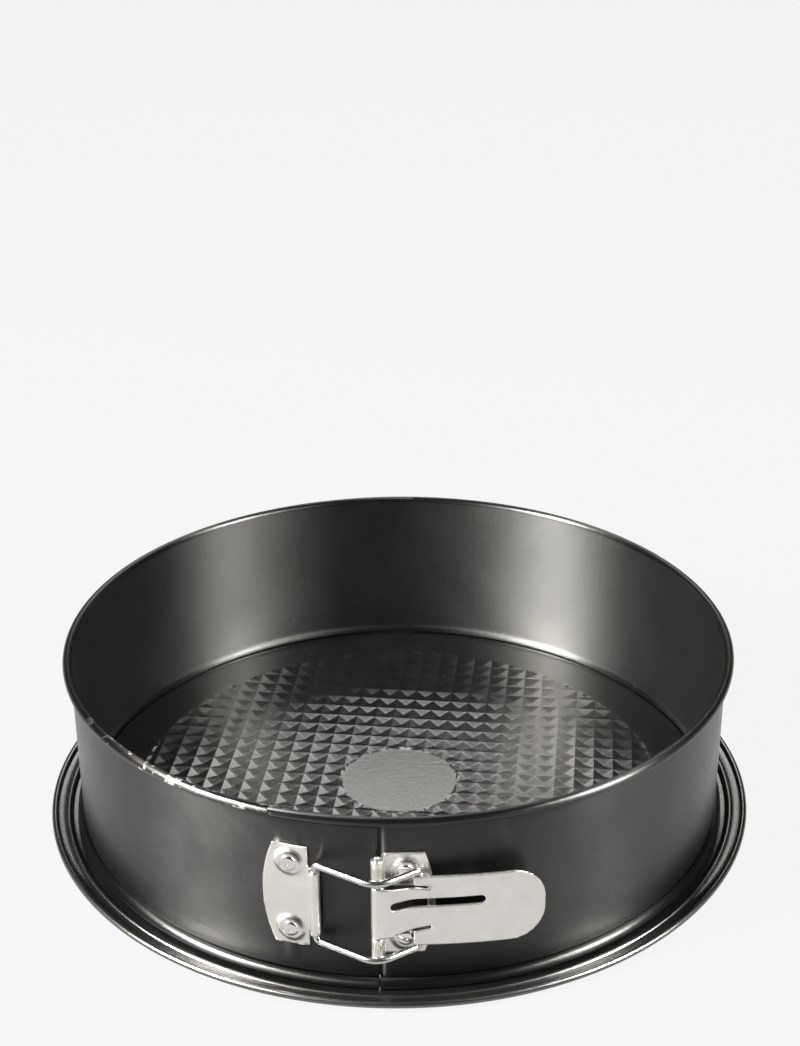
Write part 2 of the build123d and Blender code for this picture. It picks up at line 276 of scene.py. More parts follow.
# ---------------------------------------------------------------- base plate
def build_base():
    pitch, depth = 8.1, 0.82
    sub = 10
    h = pitch / sub
    rot = math.radians(-3.4)
    n = int(112 / h) + 2
    idx = np.arange(-n, n + 1)
    X, Y = np.meshgrid(idx * h, idx * h, indexing="ij")
    R = np.hypot(X, Y)
    keep = R < 111.2
    quad = keep[:-1, :-1] & keep[1:, :-1] & keep[:-1, 1:] & keep[1:, 1:]

    def waffle(X, Y):
        u = 2 * (X / pitch - np.floor(X / pitch)) - 1
        v = 2 * (Y / pitch - np.floor(Y / pitch)) - 1
        m = (np.abs(u) ** 14 + np.abs(v) ** 14) ** (1 / 14)
        p = np.clip(1.05 - m, 0, 1)
        r = np.hypot(X, Y)
        mask = smooth((109.6 - r) / 1.8)
        disc = smooth((24.9 - r) / 0.9)
        return -depth * p * mask * (1 - disc) - 0.38 * disc

    Z = waffle(X, Y)
    vid = -np.ones(X.shape, int)
    used = np.zeros(X.shape, bool)
    used[:-1, :-1] |= quad; used[1:, :-1] |= quad; used[:-1, 1:] |= quad; used[1:, 1:] |= quad
    vid[used] = np.arange(used.sum())
    top = np.stack([X[used], Y[used], 2.4 + Z[used]], 1)
    # boundary loop
    ecount = {}
    faces = []
    I, J = np.nonzero(quad)
    for i, j in zip(I, J):
        a, b, cc, d = vid[i, j], vid[i + 1, j], vid[i + 1, j + 1], vid[i, j + 1]
        uc = ((i - n) % sub) + 0.5 - sub / 2
        vc = ((j - n) % sub) + 0.5 - sub / 2
        if uc * vc > 0:      # crease runs along this quad's own diagonal
            faces += [(a, b, cc), (a, cc, d)]
        else:
            faces += [(a, b, d), (b, cc, d)]
        for e in ((a, b), (b, cc), (cc, d), (d, a)):
            k = (min(e), max(e))
            ecount[k] = ecount.get(k, 0) + 1
    bound = sorted({v for k, ct in ecount.items() if ct == 1 for v in k},
                   key=lambda v: math.atan2(top[v, 1], top[v, 0]))
    bound = np.array(bound)
    ang = np.arctan2(top[bound, 1], top[bound, 0])
    top[bound, 0] = 111.4 * np.cos(ang)
    top[bound, 1] = 111.4 * np.sin(ang)
    top[bound, 2] = 2.4
    nt_ = len(top)
    bot = top.copy()
    bot[:, 2] -= 0.6
    verts = [top, bot]
    allf = list(faces) + [tuple(x + nt_ for x in f[::-1]) for f in faces]
    base = 2 * nt_
    # revolved profile, shared angles, from the top's edge round to the underside's edge
    prof = [(116, 2.4), (124, 2.4), (127.4, 2.4), (128.15, 2.3), (128.45, 2.0), (128.5, 1.2), (128.62, 0.85),
            (129.0, 0.6), (134.3, 0.6), (134.9, 0.75), (136.0, 2.25), (136.4, 2.55), (136.75, 2.62),
            (137.2, 2.55), (137.5, 2.2), (137.9, 2.1), (140.6, 2.1), (141.05, 2.35)]
    for a in np.linspace(155, -172, 24):
        prof.append((142.2 + 1.3 * math.cos(math.radians(a)), 2.9 + 1.3 * math.sin(math.radians(a))))
    prof += [(140.6, 1.5), (137.7, 1.5), (137.3, 1.62), (137.0, 2.0), (136.7, 2.0), (136.35, 1.75), (135.25, 0.12),
             (134.9, 0.0), (128.6, 0.0), (128.1, 0.2), (127.92, 0.6), (127.9, 1.3), (127.7, 1.7), (127.2, 1.8),
             (124, 1.8), (116, 1.8)]
    rings = []
    for r, z in prof:
        rings.append(np.stack([r * np.cos(ang), r * np.sin(ang), np.full(len(ang), z)], 1))
    ids = [bound]
    for k, ring in enumerate(rings):
        verts.append(ring)
        ids.append(np.arange(len(ang)) + base + k * len(ang))
    ids.append(bound + nt_)
    m = len(ang)
    for a, b in zip(ids[:-1], ids[1:]):
        for i in range(m):
            j = (i + 1) % m
            allf.append((a[i], b[i], b[j], a[j]))
    V = np.concatenate(verts)
    cr, sr = math.cos(rot), math.sin(rot)
    V[:, :2] = np.stack([cr * V[:, 0] - sr * V[:, 1], sr * V[:, 0] + cr * V[:, 1]], 1)
    o = obj_from("base_disc", V, allf, 30, M_BASE)
    return o


# ---------------------------------------------------------------- band
def band_path():
    """Centre line of the bent sheet, from the bead's tip to the rim curl's tip, as (r, z) points; build_band works out
    its left normal.
    """
    pts = []
    for a in np.linspace(98, -150 - 60, 30):      # bead: over the outside, under, up the inside
        pts.append((BEAD_C + BEAD_R * math.cos(math.radians(a)), BEAD_Z + BEAD_R * math.sin(math.radians(a))))
    pts += [(129.62, 4.35), (130.0, 5.0), (130.22, 5.7), (R_MID, 6.4)]
    for z in (8, 12, 20, 30, 40, 50, 60, 64, 66.5, 68.2, 69.2, 70.0, 70.8):
        pts.append((R_MID, z))
    for a in np.linspace(180, -128, 30):
        pts.append((RIM_C + RIM_R * math.cos(math.radians(a)), RIM_Z + RIM_R * math.sin(math.radians(a))))
    return np.array(pts)


def grid_shell(name, C, N, half, mask, closed_u=False, mat=None, sharp=35):
    """Thick sheet from a grid of centre points C[i, k] and unit normals N[i, k]; mask[i, k] says which cells exist."""
    ni, nk = C.shape[:2]
    A = (C + N * half).reshape(-1, 3)
    B = (C - N * half).reshape(-1, 3)
    off = ni * nk
    vid = lambda i, k: i * nk + k
    F = []
    for i in range(ni - 1):
        for k in range(nk - 1):
            if not mask[i, k]:
                continue
            a, b, c_, d = vid(i, k), vid(i + 1, k), vid(i + 1, k + 1), vid(i, k + 1)
            F.append((a, b, c_, d))
            F.append((off + d, off + c_, off + b, off + a))
            if i == 0 or not mask[i - 1, k]:
                F.append((d, off + d, off + a, a))
            if i == ni - 2 or not mask[i + 1, k]:
                F.append((b, off + b, off + c_, c_))
            if k == 0 or not mask[i, k - 1]:
                F.append((a, off + a, off + b, b))
            if k == nk - 2 or not mask[i, k + 1]:
                F.append((c_, off + c_, off + d, d))
    V = np.concatenate([A, B])
    used = sorted({v for f in F for v in f})
    new = {v: n for n, v in enumerate(used)}
    o = obj_from(name, V[used], [tuple(new[v] for v in f) for f in F], sharp, mat)
    fix_normals(o)
    for p in o.data.polygons:
        p.use_smooth = True
    o.data.set_sharp_from_angle(angle=math.radians(sharp))
    return o


def build_band(name, angles, offs, maskfn):
    """angles in degrees; offs(a) is the inward offset of the wall there; maskfn(a_mid, k) keeps a cell."""
    P = band_path()
    nk = len(P)
    T = np.gradient(P, axis=0)
    T /= np.linalg.norm(T, axis=1)[:, None]
    Nrz = np.stack([-T[:, 1], T[:, 0]], 1)
    wall = smooth((P[:, 1] - 5.0) / 1.0) * smooth((70.6 - P[:, 1]) / 2.2)
    wall[:30] = 0
    wall[-30:] = 0
    A = np.radians(np.array(angles, float))
    C = np.zeros((len(A), nk, 3))
    N = np.zeros_like(C)
    for i, a in enumerate(A):
        d = offs(math.degrees(a))
        r = P[:, 0] - d * wall
        C[i] = np.stack([r * math.sin(a), -r * math.cos(a), P[:, 1]], 1)
        N[i] = np.stack([Nrz[:, 0] * math.sin(a), -Nrz[:, 0] * math.cos(a), Nrz[:, 1]], 1)
    # rivet dimples, pushed outward
    for ang in ((CATCH_A,) if name.endswith("left") else (HINGE_A,)):
        for z in RIVET_Z:
            aa = np.degrees(A)[:, None]
            dist = np.hypot((aa - ang) * math.radians(1) * 130.3, P[None, :, 1] - z)
            amt = 0.6 * smooth((5.0 - dist) / 1.2)
            amt[:, :30] = 0
            amt[:, -30:] = 0
            C += amt[:, :, None] * np.stack([np.sin(A), -np.cos(A), np.zeros(len(A))], 1)[:, None, :]
    M = np.zeros((len(A) - 1, nk - 1), bool)
    for i in range(len(A) - 1):
        am = math.degrees((A[i] + A[i + 1]) / 2)
        for k in range(nk - 1):
            M[i, k] = maskfn(am, k, (P[k, 1] + P[k + 1, 1]) / 2)
    return grid_shell(name, C, N, SHEET / 2, M, mat=M_BAND, sharp=40)


def steps(a, b, dense):
    """Angles from a to b, one every 0.8 degrees, closer in the dense ranges."""
    out = [a]
    while out[-1] < b - 1e-9:
        st = 0.8
        for lo, hi, d in dense:
            if lo - 0.8 <= out[-1] < hi:
                st = min(st, d)
        nxt = out[-1] + st
        for lo, hi, d in dense:
            if out[-1] < lo - 1e-9 < nxt:
                nxt = lo
        out.append(min(nxt, b))
    return out


def left_mask(a, k, z):
    if a > -LAP - 0.05:
        return k < 30 + 13 and z < 68.9
    return True


def right_mask(a, k, z):
    if a < 0.1:
        return k > 30 + 1 and not (k < 30)
    return True


left_angles = steps(-180, -LAP - 0.05, [(-17.2, -16.4, 0.2)])[:-1] + steps(-LAP - 0.05, -0.05, [(-16.45, -10.8, 0.35), (-0.5, 0, 0.2)])
right_angles = steps(-LAP, 0.1, [(-0.6, 0.1, 0.2)])[:-1] + steps(0.1, 180, [(0.1, 1.7, 0.12), (1.7, 6.8, 0.35)])
band_l = build_band("ring_left", left_angles, lambda a: 0.0, left_mask)
band_r = build_band("ring_right", right_angles, lambda a: 0.9 * float(1 - smooth((a - 0.1) / 1.3)), right_mask)
for o in (band_l, band_r):
    at = o.data.attributes.new("rest", "FLOAT_VECTOR", "POINT")
    co = np.empty(len(o.data.vertices) * 3, np.float32)
    o.data.vertices.foreach_get("co", co)
    at.data.foreach_set("vector", co)
    co = co.reshape(-1, 3) / MM
    ins = (np.hypot(co[:, 0], co[:, 1]) < 130.3) & (co[:, 2] > 5.0) & (co[:, 2] < 70.8)
    at = o.data.attributes.new("inner", "FLOAT", "POINT")
    at.data.foreach_set("value", ins.astype(np.float32))
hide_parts("band_left", "band_back")
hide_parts("band_right")
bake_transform(band_l)
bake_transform(band_r)

base_disc = build_base()
fix_normals(base_disc)
for p in base_disc.data.polygons:
    p.use_smooth = True
me = base_disc.data
flags = []
for deg in (30, 7):
    me.set_sharp_from_angle(angle=math.radians(deg))
    fl = np.zeros(len(me.edges), bool)
    me.edges.foreach_get("use_edge_sharp", fl)
    flags.append(fl)
co = np.empty(len(me.vertices) * 3, np.float32)
me.vertices.foreach_get("co", co)
ev = np.empty(len(me.edges) * 2, np.int32)
me.edges.foreach_get("vertices", ev)
rr = np.hypot(*co.reshape(-1, 3)[:, :2].T)[ev.reshape(-1, 2)].max(1)
# creased facets in the waffle, smooth everywhere else
me.edges.foreach_set("use_edge_sharp", np.where(rr < 0.1095, flags[1], flags[0]))
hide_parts("base_plate")
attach(base_disc, "base")


# ---------------------------------------------------------------- bent plates
def inset(poly, d):
    P = np.asarray(poly, float)
    n = len(P)
    out = []
    area = 0.5 * np.sum(P[:, 0] * np.roll(P[:, 1], -1) - np.roll(P[:, 0], -1) * P[:, 1])
    sgn = 1 if area > 0 else -1
    for i in range(n):
        a, b, c_ = P[i - 1], P[i], P[(i + 1) % n]
        e1 = (b - a) / max(np.linalg.norm(b - a), 1e-9)
        e2 = (c_ - b) / max(np.linalg.norm(c_ - b), 1e-9)
        n1 = np.array([-e1[1], e1[0]]) * sgn
        n2 = np.array([-e2[1], e2[0]]) * sgn
        m = n1 + n2
        m /= max(np.linalg.norm(m), 1e-9)
        out.append(b + m * d / max(0.5, float(m @ n1)))
    return np.array(out)


def resample(poly, step):
    P = np.asarray(poly, float)
    out = []
    for i in range(len(P)):
        a, b = P[i], P[(i + 1) % len(P)]
        k = max(1, int(math.ceil(np.linalg.norm(b - a) / step)))
        for t in range(k):
            out.append(a + (b - a) * t / k)
    return np.array(out)


def rounded(corners, radii, seg=8):
    """Closed polygon with rounded corners."""
    P = np.asarray(corners, float)
    out = []
    for i in range(len(P)):
        a, b, c_ = P[i - 1], P[i], P[(i + 1) % len(P)]
        r = radii[i]
        d1 = (a - b) / np.linalg.norm(a - b)
        d2 = (c_ - b) / np.linalg.norm(c_ - b)
        th = math.acos(max(-1, min(1, float(d1 @ d2))))
        if r <= 0 or th > math.pi - 0.02:
            out.append(b)
            continue
        t = r / math.tan(th / 2)
        cen = b + (d1 + d2) / np.linalg.norm(d1 + d2) * r / math.sin(th / 2)
        p0, p1 = b + d1 * t, b + d2 * t
        a0 = math.atan2(*(p0 - cen)[::-1])
        a1 = math.atan2(*(p1 - cen)[::-1])
        da = (a1 - a0 + math.pi) % (2 * math.pi) - math.pi
        for q in range(seg + 1):
            aa = a0 + da * q / seg
            out.append(cen + r * np.array([math.cos(aa), math.sin(aa)]))
    return np.array(out)


def inside(pts, poly):
    x, y = pts[:, 0], pts[:, 1]
    c_ = np.zeros(len(pts), bool)
    P = np.asarray(poly)
    for i in range(len(P)):
        x0, y0 = P[i]
        x1, y1 = P[i - 1]
        cond = ((y0 > y) != (y1 > y))
        with np.errstate(divide="ignore", invalid="ignore"):
            xi = (x1 - x0) * (y - y0) / (y1 - y0) + x0
        c_ ^= cond & (x < xi)
    return c_


def bent_plate(name, outline, holes, thick, mapper, relief, mat, step=0.8, bevel=0.28, sharp=50):
    """A sheet cut to outline (s, z), with relief(s, z) pushed outward, then bent by mapper(s, z, h) to 3-D."""
    loops = [resample(outline, step)] + [resample(h_, step * 0.6) for h_ in holes]
    rings = []
    for n, lp in enumerate(loops):
        rings.append((lp, inset(lp, bevel if n == 0 else -bevel)))
    pts, edges = [], []

    def add_loop(lp):
        b = len(pts)
        pts.extend(map(tuple, lp))
        edges.extend([(b + i, b + (i + 1) % len(lp)) for i in range(len(lp))])
        return b
    marks = []
    for outer, inner in rings:
        marks.append((add_loop(outer), len(outer)))
        add_loop(inner)
    lo, hi = loops[0].min(0), loops[0].max(0)
    gx, gy = np.meshgrid(np.arange(lo[0], hi[0], step), np.arange(lo[1], hi[1], step), indexing="ij")
    G = np.stack([gx.ravel(), gy.ravel()], 1)
    ok = inside(G, inset(loops[0], bevel + step * 0.45))
    for h_ in loops[1:]:
        ok &= ~inside(G, inset(h_, -(bevel + step * 0.45)))
    pts.extend(map(tuple, G[ok]))
    res = delaunay_2d_cdt([Vector(p) for p in pts], edges, [], 0, 1e-6)
    V2 = np.array([tuple(v) for v in res[0]])
    tris = np.array([f for f in res[2]], int)
    cen = V2[tris].mean(1)
    good = inside(cen, loops[0])
    for h_ in loops[1:]:
        good &= ~inside(cen, h_)
    tris = tris[good]
    # border vertices sit one bevel lower
    ecount = {}
    for t in tris:
        for e in ((t[0], t[1]), (t[1], t[2]), (t[2], t[0])):
            k = (min(e), max(e))
            ecount[k] = ecount.get(k, []) + [e]
    border = [es[0] for k, es in ecount.items() if len(es) == 1]
    bset = {v for e in border for v in e}
    isb = np.zeros(len(V2), bool)
    isb[list(bset)] = True
    rel = relief(V2[:, 0], V2[:, 1])
    drop = np.where(isb, bevel * 0.8, 0.0)
    top = mapper(V2[:, 0], V2[:, 1], rel + thick / 2 - drop)
    bot = mapper(V2[:, 0], V2[:, 1], rel - thick / 2 + drop)
    n = len(V2)
    F = [tuple(t) for t in tris] + [tuple(int(x) + n for x in t[::-1]) for t in tris]
    for a, b in border:
        F.append((b, a, a + n, b + n))
    V = np.concatenate([top, bot])
    used = sorted({int(v) for f in F for v in f})
    new = {v: i for i, v in enumerate(used)}
    o = obj_from(name, V[used], [tuple(new[int(v)] for v in f) for f in F], sharp, mat)
    fix_normals(o)
    for p in o.data.polygons:
        p.use_smooth = True
    o.data.set_sharp_from_angle(angle=math.radians(sharp))
    return o


class Bend:
    """A plan-view curve made of pieces; at(s) gives a point and its outward normal."""

    def __init__(self, pts):
        self.p = np.asarray(pts, float)
        d = np.linalg.norm(np.diff(self.p, axis=0), axis=1)
        self.s = np.concatenate([[0], np.cumsum(d)])
        t = np.gradient(self.p, axis=0)
        t /= np.linalg.norm(t, axis=1)[:, None]
        self.n = np.stack([t[:, 1], -t[:, 0]], 1)      # to the right of travel

    def __call__(self, s):
        x = np.interp(s, self.s, self.p[:, 0])
        y = np.interp(s, self.s, self.p[:, 1])
        nx = np.interp(s, self.s, self.n[:, 0])
        ny = np.interp(s, self.s, self.n[:, 1])
        L = np.hypot(nx, ny)
        return x, y, nx / L, ny / L


def arc(cx, cy, r, a0, a1, n=40):
    a = np.radians(np.linspace(a0, a1, n))
    return np.stack([cx + r * np.cos(a), cy + r * np.sin(a)], 1)


def near(curve, x, y):
    d = np.hypot(curve.p[:, 0] - x, curve.p[:, 1] - y)
    return float(curve.s[d.argmin()])


def boss(sc, zs, height=1.1):
    def f(s, z):
        out = np.zeros_like(s)
        for zc in zs:
            d = np.hypot(s - sc, z - zc)
            out = np.maximum(out, height * smooth((5.6 - d) / 1.15))
        return out
    return f


def plan_mapper(curve, thick_fn=None):
    def m(s, z, h):
        x, y, nx, ny = curve(s)
        if thick_fn is not None:
            h = h * thick_fn(s)
        return np.stack([x + nx * h, y + ny * h, z], 1)
    return m


# catch bracket: runs left to right along the wall, then rolls outward round the bail's wire
RB = 131.1
def cyl(a0, a1, r, n):
    a = np.radians(np.linspace(a0, a1, n))
    return np.stack([r * np.sin(a), -r * np.cos(a)], 1)

ka = math.radians(-9.5)
tip_dir = math.degrees(math.atan2(-math.cos(ka), math.sin(ka)))      # outward direction at the barrel
pa = np.concatenate([cyl(-19.5, -9.85, RB, 90),
                     arc(KX, KY, 1.66, tip_dir + 180 + 6, tip_dir + 180 + 318, 60)])
catch_curve = Bend(pa)
s_edge = near(catch_curve, 131.1 * math.sin(math.radians(-10.75)), -131.1 * math.cos(math.radians(-10.75)))
s_l = near(catch_curve, 131.1 * math.sin(math.radians(-16.2)), -131.1 * math.cos(math.radians(-16.2)))
s_ll = near(catch_curve, 131.1 * math.sin(math.radians(-18.05)), -131.1 * math.cos(math.radians(-18.05)))
s_end = float(catch_curve.s[-1])


def d_outline(s_far, s_cor, s_str, z0, z1, zmid):
    """Convex far edge as an arc through three points; the straight near edge is added by the caller."""
    ax, az, bx, bz = s_cor, z0, s_far, zmid
    k = (z1 - z0) / 2
    sag = abs(s_far - s_cor)
    R_ = (k * k + sag * sag) / (2 * sag)
    cxx = s_far + R_ * (1 if s_cor > s_far else -1)
    aa = math.asin(k / R_)
    sg = -1 if s_cor > s_far else 1
    return [(cxx + sg * R_ * math.cos(t), zmid + R_ * math.sin(t)) for t in np.linspace(-aa, aa, 26)]


far = d_outline(s_ll, s_l, s_edge, 16.8, 58.6, 37.7)
catch_out = [(s_edge, 58.6 - 0.2), (s_edge, 50.5), (s_edge + 0.5, 50.2), (s_end, 50.2), (s_end, 23.9), (s_edge + 0.5, 23.9), (s_edge, 23.6), (s_edge, 17.0)] + [tuple(p) for p in far]
sc_a = near(catch_curve, 131.1 * math.sin(math.radians(CATCH_A)), -131.1 * math.cos(math.radians(CATCH_A)))
s_roll_a = near(catch_curve, *pa[90])
catch = bent_plate("catch_plate", catch_out, [], 0.94, plan_mapper(catch_curve, lambda s: np.where(s > s_roll_a - 1, 0.72, 1.0)),
                   boss(sc_a, RIVET_Z), M_PLATE, step=0.75)


# paints dark crescents of shade round each rivet boss into a point attribute, which the plated material darkens by
def paint_rivet_boss_shade(o, ang):
    co = np.empty(len(o.data.vertices) * 3, np.float32)
    o.data.vertices.foreach_get("co", co)
    co = co.reshape(-1, 3) / MM
    u = (np.arctan2(co[:, 0], -co[:, 1]) - math.radians(ang)) * 132
    val = np.zeros(len(co), np.float32)
    for zc in RIVET_Z:
        v = co[:, 2] - zc
        # the crescents lean to the upper right and lower left, the sides where the painted shade lies
        lean = np.cos(np.arctan2(v, u) - math.radians(60)) ** 2
        w = np.exp(-((np.hypot(u, v) - 4.5) / 0.85) ** 2) * smooth((lean - 0.2) / 0.5)
        val = np.maximum(val, w)
    at = o.data.attributes.new("rivet_boss_shade", "FLOAT", "POINT")
    at.data.foreach_set("value", val.astype(np.float32))


paint_rivet_boss_shade(catch, CATCH_A)
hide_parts("catch_bracket")
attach(catch, "ring_left")

# hinge bracket: along the wall from right to left, out from the wall, rolled round the pin
stand = np.array([(1.72, -131.9 - 0.2 * i) for i in range(1, 22)])
plate_part = cyl(9.2, 1.45, RB, 70)
turn = arc(2.75, -132.12, 1.03, 92, 180, 12)
pb = np.concatenate([plate_part, turn, np.array([(1.72, y) for y in np.linspace(-132.4, -136.2, 14)]),
                     arc(PX, PY, 1.7, 0, -318, 64)])
hb_curve = Bend(pb)
# normals point to the outer side: travel is right to left, so flip them
hb_curve.n = -hb_curve.n
s_r0 = near(hb_curve, 131.1 * math.sin(math.radians(6.9)), -131.1 * math.cos(math.radians(6.9)))
s_rr = near(hb_curve, 131.1 * math.sin(math.radians(8.55)), -131.1 * math.cos(math.radians(8.55)))
s_str = near(hb_curve, *turn[-3])
s_hend = float(hb_curve.s[-1])
far = d_outline(s_rr, s_r0, s_str, 16.8, 58.6, 37.7)
s_cut = near(hb_curve, 131.1 * math.sin(math.radians(7.4)), -131.1 * math.cos(math.radians(7.4)))
far_b = [tuple(p) for p in far][::-1]
# order: far edge top to bottom, then along the bottom to the knuckles and up
hinge_poly = far_b + [(s_str - 0.2, 16.8), (s_str + 0.4, 17.5), (s_hend, 17.5), (s_hend, 27.0), (s_str + 0.5, 27.0), (s_str, 27.5),
                      (s_str, 31.5), (s_cut, 31.5), (s_cut, 45.2), (s_str, 45.2), (s_str, 48.2), (s_str + 0.5, 48.7), (s_hend, 48.7), (s_hend, 59.3), (s_str + 0.4, 59.3), (s_str - 0.2, 58.6)]
sc_b = near(hb_curve, 131.1 * math.sin(math.radians(HINGE_A)), -131.1 * math.cos(math.radians(HINGE_A)))
hinge_r = [1.7 if abs(p[0] - s_cut) < 1e-6 and p[1] in (31.5, 45.2) else 0.0 for p in hinge_poly]
hinge_poly = rounded(hinge_poly, hinge_r, 8)
hinge = bent_plate("hinge_plate", hinge_poly, [], 0.94, plan_mapper(hb_curve), boss(sc_b, RIVET_Z), M_PLATE, step=0.75)
paint_rivet_boss_shade(hinge, HINGE_A)
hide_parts("hinge_bracket")
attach(hinge, "ring_right")

# lever: rolled knuckle, neck, body
OUTER = np.array([(0.0, -138.6), (4.0, -138.2), (8.0, -136.7), (12.4, -135.1), (20.0, -134.3), (28.0, -133.4), (37.0, -132.0), (47.0, -129.9), (57.4, -127.0)])


def catmull(P, n=16):
    out = []
    Q = np.vstack([2 * P[0] - P[1], P, 2 * P[-1] - P[-2]])
    Q[0] = (P[0][0] - (P[1][0] - P[0][0]), P[0][1] + 0.02)
    for i in range(1, len(Q) - 2):
        p0, p1, p2, p3 = Q[i - 1], Q[i], Q[i + 1], Q[i + 2]
        for t in np.linspace(0, 1, n, endpoint=False):
            out.append(0.5 * ((2 * p1) + (-p0 + p2) * t + (2 * p0 - 5 * p1 + 4 * p2 - p3) * t * t + (-p0 + 3 * p1 - 3 * p2 + p3) * t ** 3))
    out.append(P[-1])
    return np.array(out)


oc = catmull(OUTER)
tt = np.gradient(oc, axis=0)
tt /= np.linalg.norm(tt, axis=1)[:, None]
cl = oc + np.stack([-tt[:, 1], tt[:, 0]], 1) * 0.5          # centre line, half a sheet behind the outer face
roll = arc(PX, PY, 1.7, -90 - 318, -90, 64)
lever_curve = Bend(np.concatenate([roll[:-1], cl]))
s_of = lambda x: float(np.interp(x, lever_curve.p[64:, 0], lever_curve.s[64:]))
s0 = float(lever_curve.s[63])
sx = s_of
tip_s = float(lever_curve.s[-1])
lev_corners = [(0.0, 27.35), (s0, 27.35), (sx(18.4), 31.2), (sx(18.4), 29.9), (sx(12.3), 28.7), (sx(12.3), 23.0), (tip_s, 23.0), (tip_s, 51.6),
               (sx(12.3), 51.6), (sx(12.3), 47.9), (sx(18.4), 47.6), (sx(18.4), 46.2), (s0, 48.35), (0.0, 48.35)]
lev_r = [0.3, 3.0, 0.6, 0.6, 0.9, 0.8, 12.3, 12.3, 0.8, 0.9, 0.6, 0.6, 3.0, 0.3]
lev_out = rounded(lev_corners, lev_r, 10)
slot_c = []
xs0, xs1 = sx(4.4) + 1.65, sx(36.9) - 1.65
for t in np.linspace(-90, 90, 14):
    slot_c.append((xs1 + 1.65 * math.cos(math.radians(t)), 41.2 + 1.65 * math.sin(math.radians(t))))
for t in np.linspace(90, 270, 14):
    slot_c.append((xs0 + 1.65 * math.cos(math.radians(t)), 40.6 + 1.65 * math.sin(math.radians(t))))


def lever_relief(s, z):
    # a faint crown along the body
    t = np.clip((s - sx(20)) / (tip_s - sx(20)), 0, 1)
    return 0.10 * np.sin(math.pi * t) * np.cos((z - 37.3) / 14.3 * math.pi / 2)


lev = bent_plate("lever_plate", lev_out, [np.array(slot_c)], 0.98, plan_mapper(lever_curve), lever_relief, M_PLATE, step=0.85, bevel=0.26)
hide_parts("lever")
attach(lev, "lever")

# ears: folded back from the body's edges
def ear(name, z0, z1):
    out = rounded([(12.75, -134.6), (17.7, -134.1), (17.7, -132.3), (12.75, -132.3)], [0.2, 0.2, 1.2, 1.2], 6)
    zc = (z0 + z1) / 2
    o = bent_plate(name, out, [], z1 - z0, lambda s, z, h: np.stack([s, z, h + zc], 1), lambda s, z: np.zeros_like(s), M_PLATE, step=0.5, bevel=0.2)
    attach(o, "lever")
    return o


ear("lever_ear_lower", 23.0, 24.0)
ear("lever_ear_upper", 50.6, 51.6)


# ---------------------------------------------------------------- lathe and wire
def lathe(name, prof, origin, axis, mat, seg=48, sharp=45):
    """prof is (radius, height) along axis, closed at both ends on the axis."""
    ax = Vector(axis).normalized()
    u = ax.orthogonal().normalized()
    v = ax.cross(u)
    o3 = Vector(origin)
    V, F = [], []
    idx = []
    for r, h_ in prof:
        if r < 1e-6:
            idx.append([len(V)] * seg)
            V.append(tuple(o3 + ax * h_))
        else:
            row = []
            for q in range(seg):
                a = 2 * math.pi * q / seg
                row.append(len(V))
                V.append(tuple(o3 + ax * h_ + (u * math.cos(a) + v * math.sin(a)) * r))
            idx.append(row)
    for r0, r1 in zip(idx[:-1], idx[1:]):
        for q in range(seg):
            w = (q + 1) % seg
            f = []
            for x in (r0[q], r0[w], r1[w], r1[q]):
                if x not in f:
                    f.append(x)
            if len(f) >= 3:
                F.append(tuple(f))
    o = obj_from(name, V, F, sharp, mat)
    fix_normals(o)
    for p in o.data.polygons:
        p.use_smooth = True
    o.data.set_sharp_from_angle(angle=math.radians(sharp))
    return o


def rivet(node, ang, z, body):
    a = math.radians(ang)
    ax = (math.sin(a), -math.cos(a), 0)
    prof = [(0, 130.1), (2.9, 130.1), (3.2, 130.25), (3.2, 130.55), (2.0, 130.6), (2.0, 132.2), (3.0, 132.25), (3.1, 132.5)]
    for t in np.linspace(0, 90, 12)[1:-1]:
        t = math.radians(t)
        prof.append((3.1 * math.cos(t) ** 0.8, 132.5 + 0.98 * math.sin(t)))
    prof.append((0.9, 133.42))
    prof.append((0.75, 133.30))
    prof.append((0, 133.26))
    o = lathe(node + "_head", prof, (0, 0, z), ax, M_RIVET)
    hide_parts(node)
    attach(o, body)


rivet("catch_rivet_lower", CATCH_A, RIVET_Z[0], "ring_left")
rivet("catch_rivet_upper", CATCH_A, RIVET_Z[1], "ring_left")
rivet("hinge_rivet_lower", HINGE_A, RIVET_Z[0], "ring_right")
rivet("hinge_rivet_upper", HINGE_A, RIVET_Z[1], "ring_right")

pin = lathe("pin", [(0, 18.6), (0.68, 18.6), (0.72, 17.4), (0.9, 17.2), (1.08, 17.3), (1.15, 17.6), (1.15, 59.4), (1.08, 59.7), (0.9, 59.8), (0.72, 59.6), (0.68, 58.4), (0, 58.4)],
            (PX, PY, 0), (0, 0, 1), M_WIRE, 36)
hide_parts("hinge_pin")
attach(pin, "ring_right")


def fillet_path(P, radii, seg=14):
    P = [Vector(p) for p in P]
    out = [P[0]]
    for i in range(1, len(P) - 1):
        a, b, c_ = P[i - 1], P[i], P[i + 1]
        d1, d2 = (a - b).normalized(), (c_ - b).normalized()
        th = d1.angle(d2)
        r = radii[i - 1]
        t = r / math.tan(th / 2)
        cen = b + (d1 + d2).normalized() * r / math.sin(th / 2)
        v0, v1 = (b + d1 * t) - cen, (b + d2 * t) - cen
        ang = v0.angle(v1)
        axis = v0.cross(v1).normalized()
        for q in range(seg + 1):
            out.append(cen + Matrix.Rotation(ang * q / seg, 3, axis) @ v0)
    out.append(P[-1])
    return out


